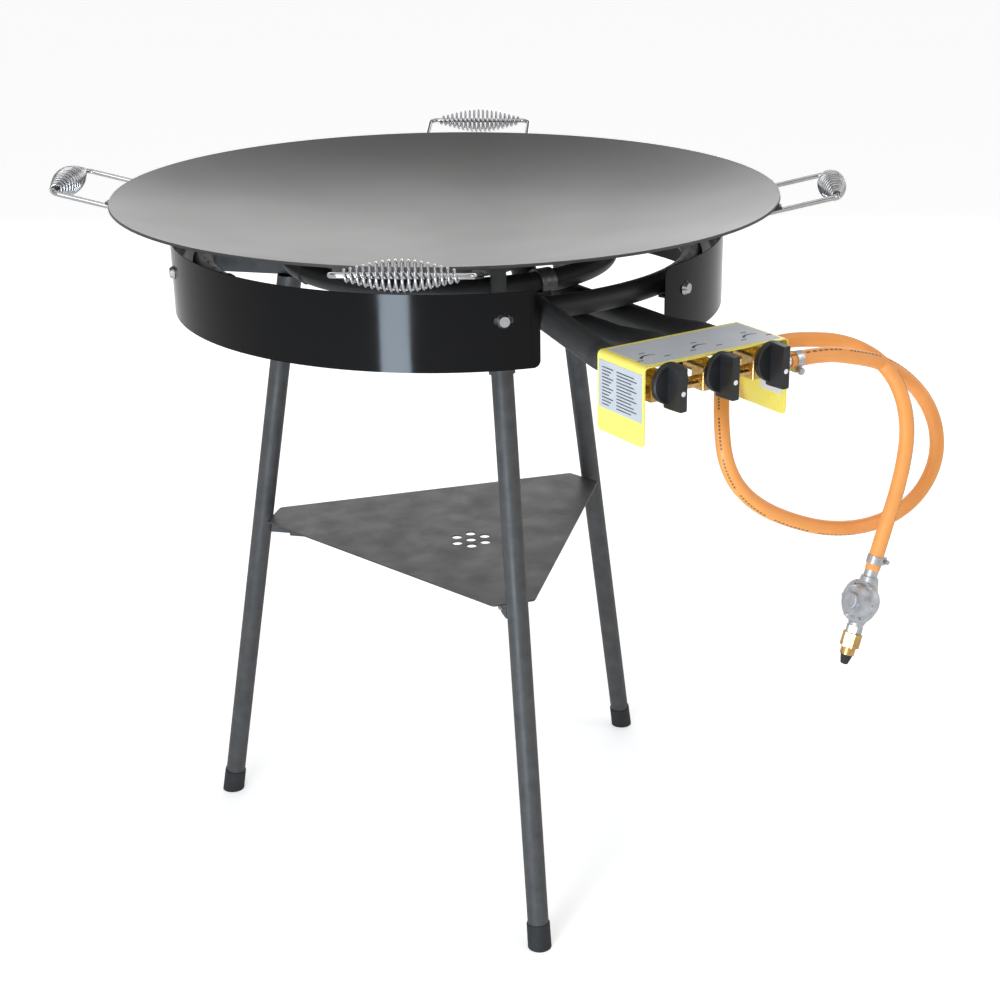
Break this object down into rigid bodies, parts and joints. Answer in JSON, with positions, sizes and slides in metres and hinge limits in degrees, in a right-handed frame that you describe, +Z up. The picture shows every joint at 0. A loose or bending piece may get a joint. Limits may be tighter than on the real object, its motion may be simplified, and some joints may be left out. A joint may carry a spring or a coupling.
{
  "type": "propane burner stand",
  "caption": "Three-ring gas burner in a round wind shield on a tripod with shelf, carrying a shallow steel pan with coil-grip handles, with controls, hose and regulator.",
  "frame": {"origin": "on the floor under the burner's axis", "axes": "+Z up, -Y towards the gas controls, +X to their right seen from the front"},
  "size_m": [0.8016, 0.9518, 0.8648],
  "materials": {
    "pan_steel": "satin, oiled",
    "chrome": "polished",
    "black_frame": "satin powder coat",
    "black_enamel": "gloss enamel",
    "black_rubber": "matt",
    "zinc": "zinc plated",
    "yellow_paint": "gloss paint",
    "label_silver": "satin",
    "brass": "machined",
    "copper": "plain copper",
    "black_plastic": "satin moulded",
    "orange_hose": "smooth",
    "cast_alloy": "as cast"
  },
  "bodies": {
    "pan": {"pan": "pan_steel", "handle_tabs": "pan_steel", "handle_wire_1": "chrome", "handle_grip_1": "chrome", "handle_wire_2": "chrome", "handle_grip_2": "chrome", "handle_wire_3": "chrome", "handle_grip_3": "chrome", "handle_wire_4": "chrome", "handle_grip_4": "chrome"},
    "stand": {"outer_ring": "black_frame", "feed_tube_outer": "black_frame", "middle_ring": "black_frame", "feed_tube_middle": "black_frame", "inner_ring": "black_frame", "feed_tube_inner": "black_frame", "ring_strap": "zinc", "support_bars": "black_frame", "pan_posts": "black_frame", "leg_sockets": "black_frame", "leg_lock_screws": "zinc", "leg_front": "black_frame", "foot_front": "black_rubber", "leg_right": "black_frame", "foot_right": "black_rubber", "leg_rear": "black_frame", "foot_rear": "black_rubber", "shield_left": "black_enamel", "shield_right": "black_enamel", "shield_seam_plate": "black_frame", "shield_rivets": "zinc", "shield_brackets": "black_frame", "shield_bolts": "zinc", "shelf": "black_frame", "shelf_tabs": "black_frame", "shelf_screws": "zinc", "control_panel": "yellow_paint", "panel_crossbar": "black_frame", "top_label": "label_silver", "side_label": "label_silver", "gas_rail": "brass", "sealing_washer": "copper", "inlet_fitting": "zinc", "valve_1": "brass", "valve_2": "brass", "valve_3": "brass", "hose": "orange_hose", "hose_clamp_inlet": "zinc", "hose_clamp_regulator": "zinc", "regulator_body": "cast_alloy", "regulator_cover": "cast_alloy", "regulator_screws": "zinc", "nose_seal": "black_rubber"},
    "spindle_1": {"spindle_1": "zinc"},
    "knob_1": {"knob_1": "black_plastic"},
    "spindle_2": {"spindle_2": "zinc"},
    "knob_2": {"knob_2": "black_plastic"},
    "spindle_3": {"spindle_3": "zinc"},
    "knob_3": {"knob_3": "black_plastic"},
    "cylinder_nut": {"cylinder_nut": "brass"}
  },
  "joints": [
    {"name": "pan_lift", "type": "slide", "parent": "stand", "child": "pan", "axis": [0, 0, 1], "range_m": [0, 0.25]},
    {"name": "knob_1_push", "type": "slide", "parent": "stand", "child": "spindle_1", "axis": [0, 1, 0], "range_m": [0, 0.0025], "stiffness_N_per_m": 1500, "springref_m": -0.002},
    {"name": "knob_1_turn", "type": "hinge", "parent": "spindle_1", "child": "knob_1", "pos_m": [-0.065, -0.5105, 0.7435], "axis": [0, -1, 0], "range_deg": [0, 180]},
    {"name": "knob_2_push", "type": "slide", "parent": "stand", "child": "spindle_2", "axis": [0, 1, 0], "range_m": [0, 0.0025], "stiffness_N_per_m": 1500, "springref_m": -0.002},
    {"name": "knob_2_turn", "type": "hinge", "parent": "spindle_2", "child": "knob_2", "pos_m": [0, -0.5105, 0.7435], "axis": [0, -1, 0], "range_deg": [0, 180]},
    {"name": "knob_3_push", "type": "slide", "parent": "stand", "child": "spindle_3", "axis": [0, 1, 0], "range_m": [0, 0.0025], "stiffness_N_per_m": 1500, "springref_m": -0.002},
    {"name": "knob_3_turn", "type": "hinge", "parent": "spindle_3", "child": "knob_3", "pos_m": [0.065, -0.5105, 0.7435], "axis": [0, -1, 0], "range_deg": [0, 180]},
    {"name": "cylinder_nut_turn", "type": "hinge", "parent": "stand", "child": "cylinder_nut", "pos_m": [0.17934, -0.527, 0.39601], "axis": [-0.3162, 0, -0.9487], "continuous": true}
  ]
}
